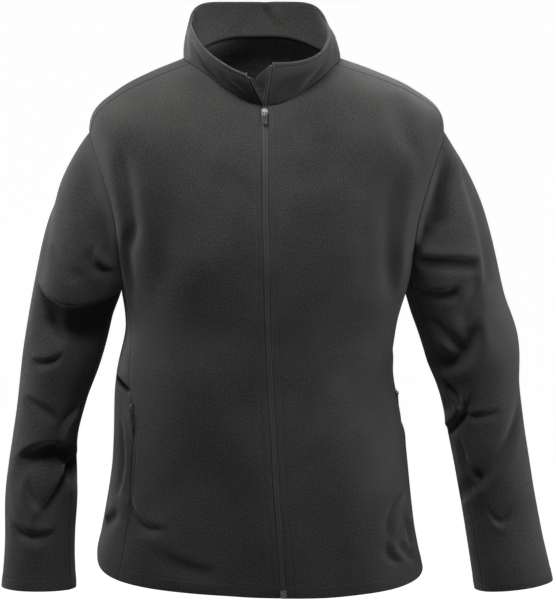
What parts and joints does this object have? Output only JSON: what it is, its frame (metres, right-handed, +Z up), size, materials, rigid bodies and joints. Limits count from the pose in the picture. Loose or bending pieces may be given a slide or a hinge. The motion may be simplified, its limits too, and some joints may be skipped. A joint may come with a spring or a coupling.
{
  "type": "softshell jacket",
  "caption": "Dark softshell jacket with stand collar, full front zip zipped to the neck seam, and zipped side pockets, filled out as if worn.",
  "frame": {"origin": "centre of the neck opening at the height of the high shoulder points, where the wearer's shoulders carry the jacket", "axes": "+Z up, -Y the way the front faces, +X to the wearer's left"},
  "size_m": [0.7786, 0.2784, 0.8269],
  "materials": {
    "cloth": "matte charcoal softshell",
    "inner_cloth": "matte fleece-backed inner face",
    "neck_tape": "matte woven tape",
    "zip_tape": "woven tape over a nylon coil",
    "metal": "nickel-plated zinc",
    "pull": "dark plated metal",
    "pocket_pull": "matte moulded cord pull"
  },
  "bodies": {
    "jacket": {"front_left": "cloth", "front_right": "cloth", "side_panel_left": "cloth", "side_panel_right": "cloth", "back": "cloth", "sleeve_top_left": "cloth", "sleeve_under_left": "cloth", "sleeve_top_right": "cloth", "sleeve_under_right": "cloth", "collar_outer": "cloth", "collar_inner": "inner_cloth", "neck_tape": "neck_tape", "wind_guard": "cloth", "zip_left": "zip_tape", "zip_right": "zip_tape", "pocket_zip_left": "zip_tape", "pocket_zip_right": "zip_tape", "zip_slider": "metal", "zip_box": "metal", "pocket_slider_left": "metal", "pocket_slider_right": "metal"},
    "zip_pull_tab": {"zip_pull": "pull"},
    "pocket_pull_right_tab": {"pocket_pull_right": "pocket_pull"},
    "pocket_pull_left_tab": {"pocket_pull_left": "pocket_pull"}
  },
  "joints": [
    {"name": "zip_pull_swing", "type": "hinge", "parent": "jacket", "child": "zip_pull_tab", "pos_m": [-0.00819, -0.08725, -0.07153], "axis": [-0.999, 0.0001, 0.0443], "range_deg": [0, 150]},
    {"name": "pocket_pull_right_swing", "type": "hinge", "parent": "jacket", "child": "pocket_pull_right_tab", "pos_m": [-0.18781, -0.07978, -0.4631], "axis": [-0.6252, 0.7459, -0.2297], "range_deg": [0, 150]},
    {"name": "pocket_pull_left_swing", "type": "hinge", "parent": "jacket", "child": "pocket_pull_left_tab", "pos_m": [0.17852, -0.04589, -0.4628], "axis": [-0.3106, -0.9492, 0.0507], "range_deg": [0, 150]}
  ]
}
